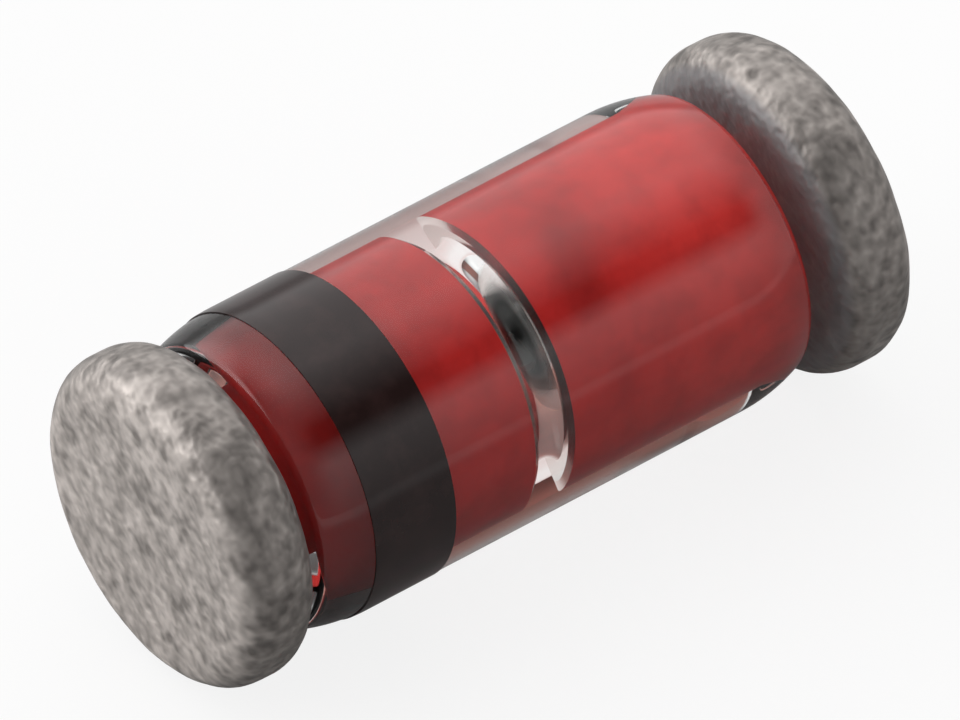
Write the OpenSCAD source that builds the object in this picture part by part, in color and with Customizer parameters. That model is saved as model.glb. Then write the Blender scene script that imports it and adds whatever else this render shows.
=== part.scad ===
// Glass zener diode for surface mounting. A square chip is held between two
// red slugs, a glass sleeve is sealed over them, and a tinned disc closes each end.
// The body lies along X with its cathode towards -X, on a board at z = 0.

/* [Overall] */
// Length over both end discs
overall_l = 3.5; // [3.4:0.05:3.7]

/* [End discs] */
// Diameter of an end disc
disc_d = 1.51; // [1.46:0.01:1.6]
// Thickness of an end disc
disc_t = 0.385; // [0.36:0.005:0.4]
// Width of the flat left on the rim between its two rounded edges
rim_land = 0.065; // [0.03:0.005:0.25]

/* [Glass sleeve] */
// Outer diameter of the glass
glass_d = 1.4; // [1.3:0.01:1.42]
// Gap between the glass and the cathode disc
cathode_gap = 0.055; // [0.02:0.005:0.15]
// Gap between the glass and the anode disc
anode_gap = 0.115; // [0.02:0.005:0.15]
// Length over which the glass draws in at each end
shoulder_l = 0.3; // [0.2:0.01:0.34]
// Radius of the drawn-in shoulder
shoulder_r = 0.8; // [0.6:0.05:1.2]
// Radius of the fire-polished lip at each end
lip_r = 0.05; // [0.03:0.005:0.07]
// Clearance between the corners of the chip and the glass that has flowed in round it
seal_clear = 0.025; // [0.02:0.005:0.06]
// Bulge of that glass towards the chip
seal_sag = 0.02; // [0.01:0.005:0.03]

/* [Slugs] */
// Diameter of a slug
slug_d = 0.77; // [0.7:0.01:0.9]
// Bevel on the slug's edge beside the chip
slug_bevel = 0.025; // [0.01:0.005:0.05]

/* [Chip] */
// Side of the square chip
chip_w = 0.38; // [0.26:0.01:0.42]
// Thickness of the chip
chip_t = 0.12; // [0.1:0.01:0.2]
// Turn of the chip round the body's axis, in degrees
chip_turn = 14; // [0:1:90]
// Diameter of the silver bump
bump_d = 0.26; // [0.16:0.01:0.28]
// Height of the silver bump
bump_t = 0.035; // [0.03:0.005:0.08]

/* [Cathode band] */
// Width of the printed band
band_w = 0.41; // [0.3:0.01:0.5]
// Distance from the cathode end of the glass to the band
band_inset = 0.235; // [0.15:0.005:0.4]
// Thickness of the ink
band_t = 0.01; // [0.005:0.005:0.02]

/* [Hidden] */
$fn = 96;

// Radii and the height of the body's axis above the board
disc_r = disc_d / 2;
glass_r = glass_d / 2;
slug_r = slug_d / 2;
bump_r = bump_d / 2;
axis_z = disc_r;

// Edge rounds share what the land leaves of the disc's thickness
disc_edge_r = (disc_t - rim_land) / 2;

// Places along the axis, measured from the middle of the body
end_x = overall_l / 2;
seat_x = end_x - disc_t;

// The glass and the chip gap share one middle, which lies off the body's own towards the cathode
glass_shift = (anode_gap - cathode_gap) / 2;
glass_x = seat_x - (anode_gap + cathode_gap) / 2;
gap_x = (chip_t + bump_t) / 2;
cathode_face_x = gap_x + glass_shift;
anode_face_x = gap_x - glass_shift;

// Shoulder and lip are tangent arcs: the centre of each, as [radius, distance along]
shoulder_c = [glass_r - shoulder_r, glass_x - shoulder_l];
lip_x = glass_x - lip_r;
lip_rise = lip_x - shoulder_c[1];
lip_c = [shoulder_c[0] + sqrt(pow(shoulder_r - lip_r, 2) - pow(lip_rise, 2)), lip_x];

// Air round the chip ends at the glass, which bulges in on an arc from slug to slug
cavity_r = chip_w * sqrt(2) / 2 + seal_clear;
seal_r = (pow(gap_x, 2) + pow(seal_sag, 2)) / (2 * seal_sag);

// Distance along at which the shoulder hands over to the lip, on a skin over the glass
function tangent_x(skin) = shoulder_c[1] + lip_rise * (shoulder_r + skin) / (shoulder_r - lip_r);

glass_colour = [0.86, 0.9, 0.9, 0.35];
tin_colour = [0.62, 0.59, 0.57];
slug_colour = [0.66, 0.16, 0.15];
ink_colour = [0.13, 0.11, 0.11];
silicon_colour = [0.25, 0.26, 0.3];
silver_colour = [0.85, 0.85, 0.84];

// Turns a shape that stands on Z into one that lies along the body's axis
module along_body() {
    translate([0, 0, axis_z])
        rotate([0, 90, 0])
            children();
}

// Half section of a disc, from its inner face to its outer one
module disc_section() {
    flat_r = disc_r - disc_edge_r;
    square([flat_r, disc_t]);
    translate([0, disc_edge_r])
        square([disc_r, disc_t - 2 * disc_edge_r]);
    for (edge = [disc_edge_r, disc_t - disc_edge_r])
        translate([flat_r, edge])
            circle(disc_edge_r);
}

module end_disc() {
    color(tin_colour)
        translate([0, 0, seat_x])
            rotate_extrude()
                disc_section();
}

// Outline of the glass as a solid rod, from its middle to one end, grown all round by a skin
module glass_outline(skin = 0) {
    square([glass_r + skin, shoulder_c[1]]);
    intersection() {
        translate(shoulder_c)
            circle(shoulder_r + skin);
        translate([0, shoulder_c[1]])
            square([glass_r + skin, tangent_x(skin) - shoulder_c[1]]);
    }
    translate(lip_c)
        circle(lip_r + skin);
    translate([0, shoulder_c[1]])
        square([lip_c[0], shoulder_l]);
}

// Section of the air round the chip
module cavity_section() {
    translate([0, -glass_shift])
        difference() {
            translate([0, -gap_x])
                square([cavity_r + seal_sag, 2 * gap_x]);
            translate([cavity_r + seal_r, 0])
                circle(seal_r);
        }
}

// Half section of a slug, from its face beside the chip to the disc
module slug_section(face_x) {
    polygon([
        [0, face_x],
        [slug_r - slug_bevel, face_x],
        [slug_r, face_x + slug_bevel],
        [slug_r, seat_x],
        [0, seat_x]
    ]);
}

module slug(face_x) {
    color(slug_colour)
        rotate_extrude()
            slug_section(face_x);
}

// Half section of the bump: a flat crown with a rounded flank
module bump_section() {
    crown_r = bump_r - bump_t;
    square([crown_r, bump_t]);
    intersection() {
        translate([crown_r, 0])
            circle(bump_t);
        square([bump_r, bump_t]);
    }
}

// Section of the ink, which follows the glass under it
module band_section() {
    intersection() {
        difference() {
            glass_outline(band_t);
            glass_outline();
        }
        translate([0, glass_x - band_inset - band_w])
            square([glass_d, band_w]);
    }
}

module glass_sleeve() {
    color(glass_colour)
        along_body()
            rotate_extrude()
                difference() {
                    translate([0, -glass_shift]) {
                        glass_outline();
                        mirror([0, 1])
                            glass_outline();
                    }
                    slug_section(anode_face_x);
                    mirror([0, 1])
                        slug_section(cathode_face_x);
                    cavity_section();
                }
}

module cathode_disc() {
    along_body()
        mirror([0, 0, 1])
            end_disc();
}

module anode_disc() {
    along_body()
        end_disc();
}

module cathode_slug() {
    along_body()
        mirror([0, 0, 1])
            slug(cathode_face_x);
}

module anode_slug() {
    along_body()
        slug(anode_face_x);
}

module diode_chip() {
    color(silicon_colour)
        along_body()
            translate([0, 0, -cathode_face_x])
                rotate([0, 0, chip_turn])
                    linear_extrude(chip_t)
                        square(chip_w, center = true);
}

module contact_bump() {
    color(silver_colour)
        along_body()
            translate([0, 0, chip_t - cathode_face_x])
                rotate_extrude()
                    bump_section();
}

module cathode_band() {
    color(ink_colour)
        along_body()
            mirror([0, 0, 1])
                rotate_extrude()
                    translate([0, glass_shift])
                        band_section();
}

glass_sleeve();
cathode_disc();
anode_disc();
cathode_slug();
anode_slug();
diode_chip();
contact_bump();
cathode_band();
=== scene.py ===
import math
import bmesh
import bpy
from mathutils import Matrix, Vector, noise


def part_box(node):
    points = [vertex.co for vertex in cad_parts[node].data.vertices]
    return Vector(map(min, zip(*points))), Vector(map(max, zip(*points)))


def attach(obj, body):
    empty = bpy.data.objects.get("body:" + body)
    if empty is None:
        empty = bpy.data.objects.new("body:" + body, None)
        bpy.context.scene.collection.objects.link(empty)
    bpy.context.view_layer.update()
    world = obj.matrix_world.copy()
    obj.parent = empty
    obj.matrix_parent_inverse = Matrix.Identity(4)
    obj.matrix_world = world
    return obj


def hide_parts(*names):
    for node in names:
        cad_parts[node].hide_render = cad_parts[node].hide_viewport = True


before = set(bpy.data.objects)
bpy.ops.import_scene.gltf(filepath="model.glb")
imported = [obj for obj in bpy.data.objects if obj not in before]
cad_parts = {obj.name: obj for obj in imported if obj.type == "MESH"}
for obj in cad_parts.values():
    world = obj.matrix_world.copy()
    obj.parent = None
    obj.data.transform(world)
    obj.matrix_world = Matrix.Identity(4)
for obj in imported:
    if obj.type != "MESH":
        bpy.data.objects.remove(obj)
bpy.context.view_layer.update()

mm = 0.001  # the frame is in metres, the sizes below are in millimetres
scene = bpy.context.scene


# where a CAD piece lies: start and end along the body, and radius, in mm
def nodeSpan(nodeName):
    low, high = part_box(nodeName)
    return low.x / mm, high.x / mm, (high.z - low.z) / 2 / mm


cathodeOuter, cathodeSeat = nodeSpan("cathode_disc")[:2]
anodeSeat, anodeOuter, discRadius = nodeSpan("anode_disc")
glassStart, glassEnd, glassRadius = nodeSpan("glass_sleeve")
glassMiddle = (glassStart + glassEnd) / 2
glassHalf = (glassEnd - glassStart) / 2
cathodeFace, slugRadius = nodeSpan("cathode_slug")[1:]
anodeFace = nodeSpan("anode_slug")[0]
gapMiddle = (cathodeFace + anodeFace) / 2
gapHalf = (anodeFace - cathodeFace) / 2
axisHeight = discRadius
print("frame read: body", round(anodeOuter - cathodeOuter, 3), "mm long")


# a socket of a node tree, so that maths on it reads as plain Python
class Wire:
    def __init__(self, tree, socket):
        self.tree = tree
        self.socket = socket

    def join(self, operation, left, right):
        return self.tree.make("Math", {"operation": operation}, {0: left, 1: right})

    def __add__(self, other):
        return self.join("ADD", self, other)

    def __radd__(self, other):
        return self.join("ADD", other, self)

    def __sub__(self, other):
        return self.join("SUBTRACT", self, other)

    def __rsub__(self, other):
        return self.join("SUBTRACT", other, self)

    def __mul__(self, other):
        return self.join("MULTIPLY", self, other)

    def __rmul__(self, other):
        return self.join("MULTIPLY", other, self)

    def __truediv__(self, other):
        return self.join("DIVIDE", self, other)

    def __rtruediv__(self, other):
        return self.join("DIVIDE", other, self)


# a node tree that grows one node at a time
class Finish:
    def __init__(self, owner):
        owner.use_nodes = True
        self.nodes = owner.node_tree.nodes
        self.links = owner.node_tree.links
        self.nodes.clear()

    # gives the wanted output, or nothing from a node that only takes
    def make(self, kind, settings=None, sockets=None, output=0):
        node = self.nodes.new("ShaderNode" + kind)
        for setting, value in (settings or {}).items():
            if setting == "stops":
                self.setStops(node.color_ramp, value)
            else:
                setattr(node, setting, value)
        for socket, value in (sockets or {}).items():
            self.feed(node.inputs[socket], value)
        return Wire(self, node.outputs[output]) if len(node.outputs) else None

    def feed(self, socket, value):
        if isinstance(value, Wire):
            self.links.new(value.socket, socket)
        else:
            socket.default_value = value

    def setStops(self, ramp, stops):
        while len(ramp.elements) < len(stops):
            ramp.elements.new(1.0)
        for element, (place, level) in zip(ramp.elements, stops):
            element.position = place
            element.color = (level, level, level, 1)

    def ramp(self, value, stops):
        return self.make("ValToRGB", {"stops": stops}, {"Fac": value})

    # 0 at the start and before it, 1 at the end and past it
    def fade(self, value, start, end):
        sockets = {"Value": value, "From Min": start, "From Max": end}
        return self.make("MapRange", {"interpolation_type": "SMOOTHSTEP"}, sockets)

    def mixColours(self, mask, first, second, way="MIX"):
        settings = {"data_type": "RGBA", "blend_type": way}
        return self.make("Mix", settings, {0: mask, 6: first, 7: second}, output=2)

    # object coordinates in millimetres, stretched or turned as asked
    def place(self, stretch=(1, 1, 1), turn=(0, 0, 0)):
        coords = self.make("TexCoord", output="Object")
        inMm = self.make("VectorMath", {"operation": "SCALE"}, {"Vector": coords, "Scale": 1 / mm})
        turned = self.make("Mapping", {}, {"Vector": inMm, "Rotation": turn})
        return self.make("Mapping", {}, {"Vector": turned, "Scale": stretch})

    def grain(self, where, scale, detail=2.0, rough=0.5):
        sockets = {"Vector": where, "Scale": scale, "Detail": detail, "Roughness": rough}
        return self.make("TexNoise", {}, sockets)

    def surface(self, shader):
        self.make("OutputMaterial", {}, {"Surface": shader})


def newFinish(name):
    material = bpy.data.materials.new(name)
    return material, Finish(material)


# points of an arc in the plane of the turned section, as (along, radius), between two angles in degrees
def arcPoints(centre, radius, start, end, steps):
    points = []
    for step in range(steps + 1):
        angle = math.radians(start + (end - start) * step / steps)
        points.append((centre[0] + radius * math.cos(angle), centre[1] + radius * math.sin(angle)))
    return points


def linePoints(start, end, steps):
    points = []
    for step in range(steps + 1):
        share = step / steps
        points.append((start[0] + (end[0] - start[0]) * share, start[1] + (end[1] - start[1]) * share))
    return points


# drops points that repeat where two stretches of a section meet
def tidySection(points, nearest=1e-6):
    kept = [points[0]]
    for point in points[1:]:
        if math.dist(point, kept[-1]) > nearest:
            kept.append(point)
    return kept


# turns a section round the body's axis; a section that starts off the axis is closed on itself
def turnedPiece(name, section, around=144, swell=None, sharpDegrees=32):
    section = tidySection(section)
    ringed = section[0][1] > 0
    mesh = bmesh.new()
    rings = []
    for along, radius in section:
        if radius <= 0:
            rings.append([mesh.verts.new((along * mm, 0, axisHeight * mm))])
            continue
        ring = []
        for step in range(around):
            angle = 2 * math.pi * step / around
            reach = radius + (swell(along, angle) if swell else 0)
            ring.append(mesh.verts.new((along * mm, reach * math.cos(angle) * mm,
                                        (axisHeight + reach * math.sin(angle)) * mm)))
        rings.append(ring)
    pairs = list(zip(rings, rings[1:]))
    if ringed:
        pairs.append((rings[-1], rings[0]))
    for first, second in pairs:
        for step in range(around):
            after = (step + 1) % around
            if len(first) == 1:
                mesh.faces.new((first[0], second[after], second[step]))
            elif len(second) == 1:
                mesh.faces.new((first[step], first[after], second[0]))
            else:
                mesh.faces.new((first[step], first[after], second[after], second[step]))
    return finishMesh(name, mesh, sharpDegrees)


def finishMesh(name, mesh, sharpDegrees):
    bmesh.ops.recalc_face_normals(mesh, faces=mesh.faces)
    data = bpy.data.meshes.new(name)
    mesh.to_mesh(data)
    mesh.free()
    data.shade_smooth()
    data.set_sharp_from_angle(angle=math.radians(sharpDegrees))
    piece = bpy.data.objects.new(name, data)
    scene.collection.objects.link(piece)
    return piece


def addPiece(piece, nodeName, material):
    piece.data.materials.append(material)
    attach(piece, "root")
    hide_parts(nodeName)


# glass sleeve
glass = {
    "shoulderLength": 0.3,
    "shoulderRadius": 0.8,
    "lipRadius": 0.05,
    "sealOverlap": 0.004,  # how far the glass reaches into the slugs, so that no air shows there
    "sealClear": 0.025,    # from the chip's corners to the glass that has flowed in round it
    "sealSag": 0.02,       # bulge of that glass
    "wave": 0.0015,        # unevenness of the drawn glass
    "waveLength": 1.1,
    "arcSteps": 24,
    "boreSteps": 4,
    "sharpDegrees": 50,
    "index": 1.56,
    "roughness": 0.0,
    "tint": (0.985, 0.995, 0.99, 1),
}


def glassWave(along, angle):
    point = Vector((along, math.cos(angle) * glassRadius, math.sin(angle) * glassRadius))
    return glass["wave"] * noise.noise(point / glass["waveLength"])


# outer line of the glass from its own middle to one end, grown by a skin
def glassOutline(skin=0.0, steps=glass["arcSteps"]):
    shoulder = (glassHalf - glass["shoulderLength"], glassRadius - glass["shoulderRadius"])
    lipAlong = glassHalf - glass["lipRadius"]
    reach = glass["shoulderRadius"] - glass["lipRadius"]
    rise = lipAlong - shoulder[0]
    lip = (lipAlong, shoulder[1] + math.sqrt(reach ** 2 - rise ** 2))
    turn = math.degrees(math.acos(rise / reach))
    points = linePoints((0, glassRadius + skin), (shoulder[0], glassRadius + skin), steps)
    points += arcPoints(shoulder, glass["shoulderRadius"] + skin, 90, turn, steps)
    points += arcPoints(lip, glass["lipRadius"] + skin, turn, 0, steps // 2)
    return points


# inside of the glass from the anode end to the cathode end, with the small cavity round the chip
def glassBore():
    sink = glass["sealOverlap"]
    bore = slugRadius - sink
    bevelEnd = slug["bevel"] + sink * (math.sqrt(2) - 1)  # the glass lies as deep in the bevels
    bevelFoot = slugRadius - bevelEnd
    cavity = chip["side"] / math.sqrt(2) + glass["sealClear"]
    reach = (gapHalf ** 2 + glass["sealSag"] ** 2) / (2 * glass["sealSag"])
    swing = math.degrees(math.asin((gapHalf + sink) / reach))
    bulge = arcPoints((gapMiddle, cavity + reach), reach, 270 + swing, 270 - swing, glass["arcSteps"])
    points = linePoints((glassEnd, bore), (anodeFace + bevelEnd, bore), glass["boreSteps"])
    points += [(bulge[0][0], bevelFoot)] + bulge + [(bulge[-1][0], bevelFoot)]
    return points + linePoints((cathodeFace - bevelEnd, bore), (glassStart, bore), glass["boreSteps"])


def buildGlass():
    outer = glassOutline()
    section = [(glassMiddle - along, radius) for along, radius in reversed(outer)]
    section += [(glassMiddle + along, radius) for along, radius in outer] + glassBore()
    material, finish = newFinish("clearGlass")
    shader = finish.make("BsdfPrincipled", {}, {
        "Base Color": glass["tint"],
        "Roughness": glass["roughness"],
        "IOR": glass["index"],
        "Transmission Weight": 1.0,
    })
    finish.surface(shader)
    piece = turnedPiece("sealedGlass", section, swell=glassWave, sharpDegrees=glass["sharpDegrees"])
    addPiece(piece, "glass_sleeve", material)


# printed band
band = {
    "thickness": 0.005,
    "sink": 0.004,  # depth of the ink's underside below the glass, so that the two never flicker
    "arcSteps": 48,
    "colour": (0.02, 0.009, 0.0085, 1),
    "worn": (0.034, 0.016, 0.015, 1),
    "wornScale": 9.0,
    "wornSpread": [(0.45, 0.0), (0.75, 1.0)],
    "roughness": 0.12,
    "gloss": 0.4,
}


# the glass's outer line from one edge of the band to the other, grown by a skin
def bandLine(skin):
    start, end = nodeSpan("cathode_band")[:2]
    line = [(end, glassRadius + skin)]
    for along, radius in glassOutline(skin, band["arcSteps"]):
        if start <= glassMiddle - along <= end:
            line.append((glassMiddle - along, radius))
    return line + [(start, line[-1][1])]


def buildBand():
    section = bandLine(band["thickness"]) + bandLine(-band["sink"])[::-1]
    material, finish = newFinish("bakedInk")
    specks = finish.grain(finish.place(), band["wornScale"], detail=4.0)
    worn = finish.ramp(specks, band["wornSpread"])
    shader = finish.make("BsdfPrincipled", {}, {
        "Base Color": finish.mixColours(worn, band["colour"], band["worn"]),
        "Roughness": band["roughness"],
        "Specular IOR Level": band["gloss"],
    })
    finish.surface(shader)
    piece = turnedPiece("cathodeBand", section, swell=glassWave)
    addPiece(piece, "cathode_band", material)


# red slugs
slug = {
    "bevel": 0.025,
    "weld": 0.004,  # how far a slug runs into its disc
    "faceSteps": 6,
    "bevelSteps": 3,
    "sideSteps": 24,
    "endSteps": 4,
    "colour": (0.612, 0.0222, 0.0193, 1),
    "pale": (0.765, 0.0446, 0.038, 1),  # painted light, towards the anode end
    "paintedLightAlong": (0.3, 0.95),           # where along the body it comes in
    "paleShare": 0.75,
    "shaded": (0.42, 0.0122, 0.01, 1),  # towards the cathode end
    "shadedAlong": (-0.55, -1.0),
    "shadedShare": 0.9,
    "blotch": (0.66, 0.56, 0.58, 1),    # what darker blotches and drawing marks leave of the colour
    "blotchScale": 6.0,
    "blotchSpread": [(0.4, 0.0), (0.68, 1.0)],
    "blotchShare": 0.6,
    "drawnScale": 2.2,
    "drawnStretch": (0.6, 9, 9),
    "drawnShare": 0.3,
    "darkSpot": (0.74, 0.68, 0.68, 1),     # what two darker spots on top, near the chip, leave of it
    "darkSpots": [(0.4, 0.01, 0.385), (0.31, -0.19, 0.336)],  # along the body, behind its axis and above it
    "darkSpotFade": (0.2, 0.04),           # from a spot's edge to its core
    "bare": (0.84, 0.81, 0.79, 1),      # metal of the faces and bevels beside the chip
    "cavityShade": (0.05, 0.05, 0.045, 1),    # painted shade on the same metal inside the cavity
    "cavityShadeFade": (0.27, 0.18),          # from this radius in to this one
    "roughness": 0.5,
    "bareRoughness": 0.16,
    "gloss": 0.1,
}


def redOxide():
    material, finish = newFinish("redOxide")
    where = finish.place()
    along = finish.make("SeparateXYZ", {}, {"Vector": where})
    # painted light towards the anode end and painted shade towards the cathode end
    pale = finish.fade(along, *slug["paintedLightAlong"]) * slug["paleShare"]
    shaded = finish.fade(along, *slug["shadedAlong"]) * slug["shadedShare"]
    clouds = finish.grain(where, slug["blotchScale"], detail=5.0, rough=0.6)
    blotch = finish.ramp(clouds, slug["blotchSpread"])
    drawn = finish.grain(finish.place(stretch=slug["drawnStretch"]), slug["drawnScale"], detail=3.0)
    marks = blotch * slug["blotchShare"] + drawn * slug["drawnShare"]
    tone = finish.mixColours(pale, slug["colour"], slug["pale"])
    tone = finish.mixColours(shaded, tone, slug["shaded"])
    tone = finish.mixColours(marks, tone, slug["blotch"], "MULTIPLY")
    # two darker spots on top, near the chip
    for darkSpot in slug["darkSpots"]:
        middle = Vector(darkSpot) + Vector((0, 0, axisHeight))
        away = finish.make("VectorMath", {"operation": "DISTANCE"}, {0: where, 1: middle}, output=1)
        tone = finish.mixColours(finish.fade(away, *slug["darkSpotFade"]), tone, slug["darkSpot"], "MULTIPLY")
    fromGap = finish.make("Math", {"operation": "ABSOLUTE"}, {0: along - gapMiddle})
    bare = finish.make("Math", {"operation": "LESS_THAN"}, {0: fromGap, 1: gapHalf + slug["bevel"]})
    offAxis = finish.make("VectorMath", {"operation": "MULTIPLY_ADD"},
                          {0: where, 1: (0, 1, 1), 2: (0, 0, -axisHeight)})
    radius = finish.make("VectorMath", {"operation": "LENGTH"}, {0: offAxis}, output=1)
    # painted shade on the metal inside the cavity round the chip
    inCavity = finish.fade(radius, *slug["cavityShadeFade"])
    metal = finish.mixColours(inCavity, slug["bare"], slug["cavityShade"])
    shader = finish.make("BsdfPrincipled", {}, {
        "Base Color": finish.mixColours(bare, tone, metal),
        "Metallic": bare * (1 - inCavity),
        "Roughness": bare * (slug["bareRoughness"] - slug["roughness"]) + slug["roughness"],
        "Specular IOR Level": slug["gloss"],
    })
    finish.surface(shader)
    return material


def buildSlug(name, nodeName, face, seat, material):
    outward = 1 if seat > face else -1
    flat = slugRadius - slug["bevel"]
    shoulder = face + outward * slug["bevel"]
    end = seat + outward * slug["weld"]
    section = linePoints((face, 0), (face, flat), slug["faceSteps"])
    section += linePoints((face, flat), (shoulder, slugRadius), slug["bevelSteps"])
    section += linePoints((shoulder, slugRadius), (end, slugRadius), slug["sideSteps"])
    section += linePoints((end, slugRadius), (end, 0), slug["endSteps"])
    addPiece(turnedPiece(name, section), nodeName, material)


# tinned end discs
disc = {
    "rimLand": 0.065,
    "around": 160,
    "edgeSteps": 20,
    "faceSteps": 20,
    "dents": 0.0035,              # height of the uneven plating
    "dentSize": 0.2,
    "dentLayers": (1.0, 2.0, 3),  # how fast its finer layers fade and shrink, and how many there are
    "bright": (0.81, 0.735, 0.686, 1),
    "dark": (0.3, 0.27, 0.25, 1),
    "speckle": [(0.36, 0.0), (0.62, 1.0)],  # from dark to bright, over grains, strokes and clouds
    "grainScale": 16.0,
    "grainShare": 0.36,
    "strokeScale": 18.0,
    "strokeShare": 0.36,
    "strokeStretch": (1, 0.62, 1),
    "strokeTurn": math.radians(40.5),
    "cloudScale": 6.0,
    "cloudShare": 0.28,
    "pitScale": 17.0,
    "pitSpread": [(0.28, 1.0), (0.36, 0.0)],
    "pitShare": 0.3,
    "relief": 0.017,
    "reliefShare": 0.6,             # of the grains and of the strokes
    "rim": (0.52, 0.52, 0.52, 1),   # painted shade: the rim's colour is darker than the end face's
    "rimFade": (0.07, 0.0),         # and gives way to it between these depths below it
    "rimMetallic": 0.64,
    "faceMetallic": 0.35,
    "inner": (0.2, 0.195, 0.2, 1),  # painted shade on the face beside the glass
    "innerFade": (0.02, 0.06),      # which gives way to the rim between these depths
    "innerCover": 1.1,
    "innerSpeckle": 0.5,
    "innerShadeLessMetal": 0.6,
    "roughness": 0.42,
}


def tinPlate():
    material, finish = newFinish("tinPlate")
    where = finish.place()
    brushed = finish.place(stretch=disc["strokeStretch"], turn=(-disc["strokeTurn"], 0, 0))
    grains = finish.grain(where, disc["grainScale"], detail=1.2)
    clouds = finish.grain(where, disc["cloudScale"])
    strokes = finish.grain(brushed, disc["strokeScale"], detail=1.0)
    level = grains * disc["grainShare"] + strokes * disc["strokeShare"] + clouds * disc["cloudShare"]
    tone = finish.mixColours(finish.ramp(level, disc["speckle"]), disc["dark"], disc["bright"])
    pits = finish.ramp(finish.grain(brushed, disc["pitScale"], detail=1.0), disc["pitSpread"])
    tone = finish.mixColours(pits * disc["pitShare"], tone, disc["dark"])
    along = finish.make("SeparateXYZ", {}, {"Vector": where})
    fromMiddle = finish.make("Math", {"operation": "ABSOLUTE"}, {0: along})
    # painted shade on the face beside the glass, with less metal there
    inner = 1 - finish.fade(fromMiddle, *[anodeSeat + depth for depth in disc["innerFade"]])
    face = finish.fade(fromMiddle, *[anodeOuter - depth for depth in disc["rimFade"]])
    # painted shade on the rounded rim
    tone = finish.mixColours(1 - face, tone, disc["rim"], "MULTIPLY")
    innerShadeMask = inner * (disc["innerCover"] - level * disc["innerSpeckle"])
    metallic = face * (disc["faceMetallic"] - disc["rimMetallic"]) + disc["rimMetallic"]
    height = grains * disc["reliefShare"] + strokes * disc["reliefShare"]
    relief = finish.make("Bump", {}, {"Height": height, "Strength": 1.0, "Distance": disc["relief"] * mm})
    shader = finish.make("BsdfPrincipled", {}, {
        "Base Color": finish.mixColours(innerShadeMask, tone, disc["inner"]),
        "Metallic": metallic * (1 - inner * disc["innerShadeLessMetal"]),
        "Roughness": disc["roughness"],
        "Normal": relief,
    })
    finish.surface(shader)
    return material


def buildDisc(name, nodeName, seat, outer, material):
    outward = 1 if outer > seat else -1
    edge = (abs(outer - seat) - disc["rimLand"]) / 2
    flat = discRadius - edge
    inside = (seat + outward * edge, flat)
    outside = (outer - outward * edge, flat)
    inward = 180 if outward > 0 else 0
    section = linePoints((seat, 0), (seat, flat), disc["faceSteps"])
    section += arcPoints(inside, edge, inward, 90, disc["edgeSteps"])
    section += arcPoints(outside, edge, 90, 180 - inward, disc["edgeSteps"])
    section += linePoints((outer, flat), (outer, 0), disc["faceSteps"])
    piece = turnedPiece(name, section, around=disc["around"])
    for vertex in piece.data.vertices:
        point = vertex.co / mm / disc["dentSize"]
        vertex.co += vertex.normal * disc["dents"] * mm * noise.fractal(point, *disc["dentLayers"])
    addPiece(piece, nodeName, material)


# chip and its contact
chip = {
    "side": 0.38,
    "turn": math.radians(14),  # round the body's axis
    "edge": 0.006,
    "edgeSteps": 2,
    "sharpDegrees": 60,
    "colour": (0.012, 0.014, 0.011, 1),
    "gloss": 0.25,
    "roughness": 0.35,
    "sawScale": 3.0,
    "sawStretch": (1, 30, 30),
    "sawRoughness": 0.25,
}
bump = {
    "around": 96,
    "arcSteps": 12,
    "colour": (0.78, 0.78, 0.76, 1),
    "roughness": 0.32,
    "satinScale": 40.0,
    "satinRoughness": 0.2,
}


def buildChip():
    low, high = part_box("diode_chip")
    mesh = bmesh.new()
    bmesh.ops.create_cube(mesh, size=1.0)
    size = Vector((high.x - low.x, chip["side"] * mm, chip["side"] * mm))
    middle = (low + high) / 2
    turn = Matrix.Rotation(chip["turn"], 3, "X")
    for vertex in mesh.verts:
        corner = Vector(side * share for side, share in zip(size, vertex.co))
        vertex.co = middle + turn @ corner
    bmesh.ops.bevel(mesh, geom=mesh.edges[:], offset=chip["edge"] * mm, segments=chip["edgeSteps"],
                    profile=0.5, affect="EDGES")
    material, finish = newFinish("dicedSilicon")
    saw = finish.grain(finish.place(stretch=chip["sawStretch"]), chip["sawScale"])
    shader = finish.make("BsdfPrincipled", {}, {
        "Base Color": chip["colour"],
        "Roughness": saw * chip["sawRoughness"] + chip["roughness"],
        "Specular IOR Level": chip["gloss"],
    })
    finish.surface(shader)
    addPiece(finishMesh("diodeChip", mesh, chip["sharpDegrees"]), "diode_chip", material)


def buildBump():
    start, end, radius = nodeSpan("contact_bump")
    height = end - start
    section = [(start, 0), (start, radius)]
    section += arcPoints((start, radius - height), height, 90, 0, bump["arcSteps"])
    section += [(end, 0)]
    material, finish = newFinish("platedSilver")
    satin = finish.grain(finish.place(), bump["satinScale"])
    shader = finish.make("BsdfPrincipled", {}, {
        "Base Color": bump["colour"],
        "Metallic": 1.0,
        "Roughness": satin * bump["satinRoughness"] + bump["roughness"],
    })
    finish.surface(shader)
    addPiece(turnedPiece("contactBump", section, around=bump["around"]), "contact_bump", material)


buildGlass()
buildBand()
oxide = redOxide()
buildSlug("cathodeSlug", "cathode_slug", cathodeFace, cathodeSeat, oxide)
buildSlug("anodeSlug", "anode_slug", anodeFace, anodeSeat, oxide)
tin = tinPlate()
buildDisc("cathodeDisc", "cathode_disc", cathodeSeat, cathodeOuter, tin)
buildDisc("anodeDisc", "anode_disc", anodeSeat, anodeOuter, tin)
buildChip()
buildBump()


# rays that have met no matt surface yet
def straightRays(finish):
    matt = finish.make("LightPath", output="Diffuse Depth")
    return finish.make("Math", {"operation": "LESS_THAN"}, {0: matt, 1: 0.5})


# rays that leave the glass: those that have met no matt surface yet, and those that have
def glassRays(finish):
    through = finish.make("LightPath", output="Is Transmission Ray")
    straight = straightRays(finish)
    return through * straight, through * (1 - straight)


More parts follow.
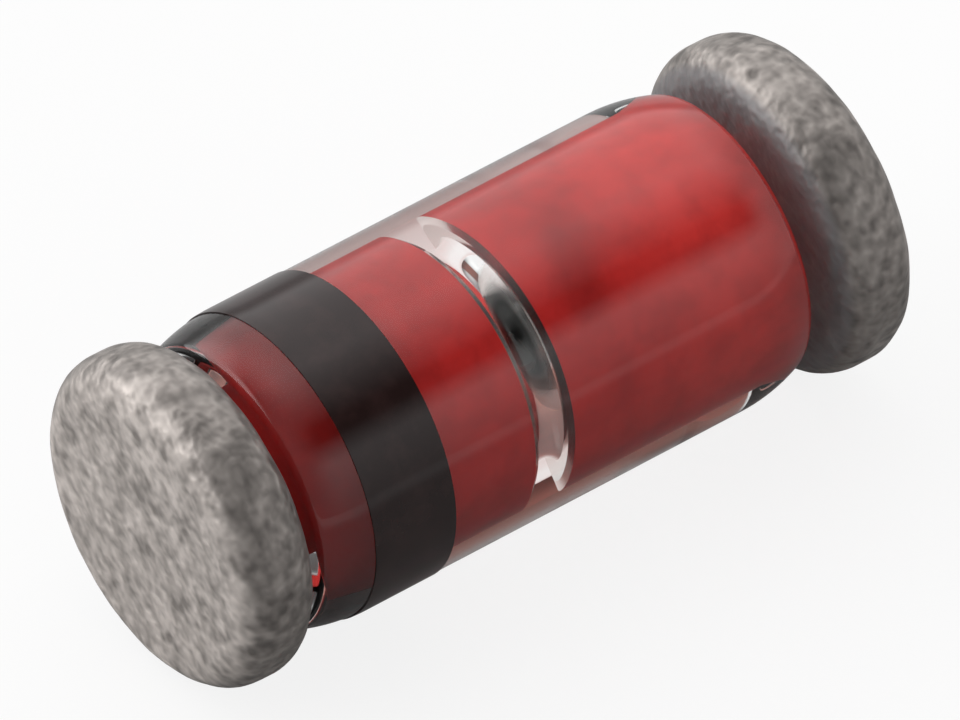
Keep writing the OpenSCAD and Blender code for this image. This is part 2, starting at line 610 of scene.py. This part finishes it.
# floor
floor = {
    "size": 1.6,  # metres
    "seenColour": (0.95, 0.95, 0.95, 1),
    "mirroredColour": (0.37, 0.37, 0.37, 1),
    "throughColour": (0.55, 0.19, 0.14, 1),  # through the glass, where the red of the slugs falls on it
    "seenWhite": 0.85,  # how much of the floor's look is plain white, the rest keeps the shadow
    # the same in metal and gloss, and through the glass, at places in mm behind the body's axis
    "glossWhite": [(-12, 0.5), (-6, 0.05), (1, 0.05), (2.5, 0.3), (9, 0.3), (18, 0.1)],
    "throughWhite": [(0.2, 0.05), (0.55, 0.55)],
}


def buildFloor():
    half = floor["size"] / 2
    corners = [(-half, -half, 0), (half, -half, 0), (half, half, 0), (-half, half, 0)]
    data = bpy.data.meshes.new("paleFloor")
    data.from_pydata(corners, [], [(0, 1, 2, 3)])
    piece = bpy.data.objects.new("paleFloor", data)
    scene.collection.objects.link(piece)
    material, finish = newFinish("paleFloor")
    seen = finish.make("LightPath", output="Is Camera Ray")
    glossy = finish.make("LightPath", output="Is Glossy Ray") * straightRays(finish)
    through = glassRays(finish)[0]
    matte = finish.make("BsdfDiffuse", {}, {"Color": floor["mirroredColour"]})
    for rays, colour in ((through, "throughColour"), (seen, "seenColour")):
        other = finish.make("BsdfDiffuse", {}, {"Color": floor[colour]})
        matte = finish.make("MixShader", {}, {0: rays, 1: matte, 2: other})
    glow = finish.make("Emission", {}, {"Color": (1, 1, 1, 1), "Strength": 1.0})
    back = finish.make("SeparateXYZ", {}, {"Vector": finish.place()}, output=1)
    share = seen * floor["seenWhite"]
    for rays, look in ((glossy, "glossWhite"), (through, "throughWhite")):
        first = floor[look][0][0]
        width = floor[look][-1][0] - first
        stops = [((place - first) / width, white) for place, white in floor[look]]
        share = share + rays * finish.ramp((back - first) / width, stops)
    finish.surface(finish.make("MixShader", {}, {0: share, 1: matte, 2: glow}))
    data.materials.append(material)


# a white light tent over the body, open above the front wall, with a soft lamp at the back left
tent = {
    # light at each turn, in degrees up from the front edge of the floor and over the body
    "turns": [(0, 0.5), (20, 0.74), (34, 0.92), (50, 0.05), (60, 0.05),
              (76, 0.5), (102, 1.36), (168, 1.26), (176, 0.5), (180, 0.4)],
    # how much of that shows straight through the glass
    "throughGlass": [(70, 1.0), (100, 0.13), (140, 0.13), (155, 0.4)],
    # a brown card low at the back that shows only there, by turns and by the way along the body
    "card": (0.42, 0.16, 0.123, 1),
    "cardTurns": [(110, 0.0), (150, 1.0)],
    "cardAlong": [(0.12, 0.0), (0.16, 1.0), (0.52, 1.0), (0.58, 0.0)],
    "gather": 1.5,                             # how much more of the light the glass gathers on the slugs
    "fill": [(0, 0.3), (40, 0.3), (65, 0.0)],  # and what it adds from the front
    # walls at the two ends, and where they come in along the body
    "right": 0.8,
    "rightAlong": (0.62, 0.86),
    "left": 0.36,
    "leftAlong": (0.1, -0.25),
    # the lamp, whose light fades from its core to its edge
    "key": 1.95,
    "keyDirection": Vector((-0.66, 0.72, 0.22)).normalized(),
    "keyEdge": math.cos(math.radians(55)),
    "keyCore": math.cos(math.radians(30)),
}


def buildTent():
    world = bpy.data.worlds.new("lightTent")
    scene.world = world
    finish = Finish(world)
    direction = finish.make("TexCoord", output="Generated")
    split = finish.make("SeparateXYZ", {}, {"Vector": direction})
    along, back, up = [Wire(finish, part) for part in split.socket.node.outputs]
    turn = finish.make("Math", {"operation": "ARCTAN2"}, {0: up, 1: back * -1.0}) / math.pi
    turned = {}
    for look in ("turns", "throughGlass", "cardTurns", "fill"):
        turned[look] = finish.ramp(turn, [(degrees / 180, light) for degrees, light in tent[look]])
    right = finish.fade(along, *tent["rightAlong"])
    left = finish.fade(along, *tent["leftAlong"])
    lit = (1 - right) * turned["turns"] + right * tent["right"]
    lit = (1 - left) * lit + left * tent["left"]
    towards = finish.make("VectorMath", {"operation": "DOT_PRODUCT"},
                          {0: direction, 1: tent["keyDirection"]}, output=1)
    lit = lit + finish.fade(towards, tent["keyEdge"], tent["keyCore"]) * tent["key"]
    through, gathered = glassRays(finish)
    lit = lit * (1 - through * (1 - turned["throughGlass"]))
    lit = lit + gathered * (lit * (tent["gather"] - 1) + turned["fill"])
    card = through * turned["cardTurns"] * finish.ramp(along, tent["cardAlong"])
    colour = finish.mixColours(card, (1, 1, 1, 1), tent["card"])
    camera = finish.make("LightPath", output="Is Camera Ray")
    strength = camera + (1 - camera) * lit
    background = finish.make("Background", {}, {"Color": colour, "Strength": strength})
    finish.make("OutputWorld", {}, {"Surface": background})


# camera, a long lens at the photograph's angle
view = {
    "azimuth": -37.2,
    "elevation": 43.5,
    "lens": 900.0,
    "imageWidth": 960,
    "pixelsPerMm": 240.6,
    "bodyLeft": -1.5,   # of the middle of the picture, in pixels
    "bodyBelow": -2.0,
    "nearClip": 0.1,    # shares of the camera's distance
    "farClip": 50,
}


def buildCamera():
    turn = math.radians(view["azimuth"])
    lift = math.radians(view["elevation"])
    back = Vector((math.sin(turn) * math.cos(lift), -math.cos(turn) * math.cos(lift), math.sin(lift)))
    data = bpy.data.cameras.new("photoCamera")
    data.lens = view["lens"]
    width = view["imageWidth"] / view["pixelsPerMm"] * mm
    distance = width * view["lens"] / data.sensor_width
    data.clip_start = distance * view["nearClip"]
    data.clip_end = distance * view["farClip"]
    data.shift_x = view["bodyLeft"] / view["imageWidth"]
    data.shift_y = view["bodyBelow"] / view["imageWidth"]
    camera = bpy.data.objects.new("photoCamera", data)
    scene.collection.objects.link(camera)
    camera.location = Vector((0, 0, axisHeight * mm)) + back * distance
    camera.rotation_mode = "QUATERNION"
    camera.rotation_quaternion = (-back).to_track_quat("-Z", "Y")
    scene.camera = camera


buildFloor()
buildTent()
buildCamera()
scene.view_settings.view_transform = "Standard"
print("floor, light and camera set")
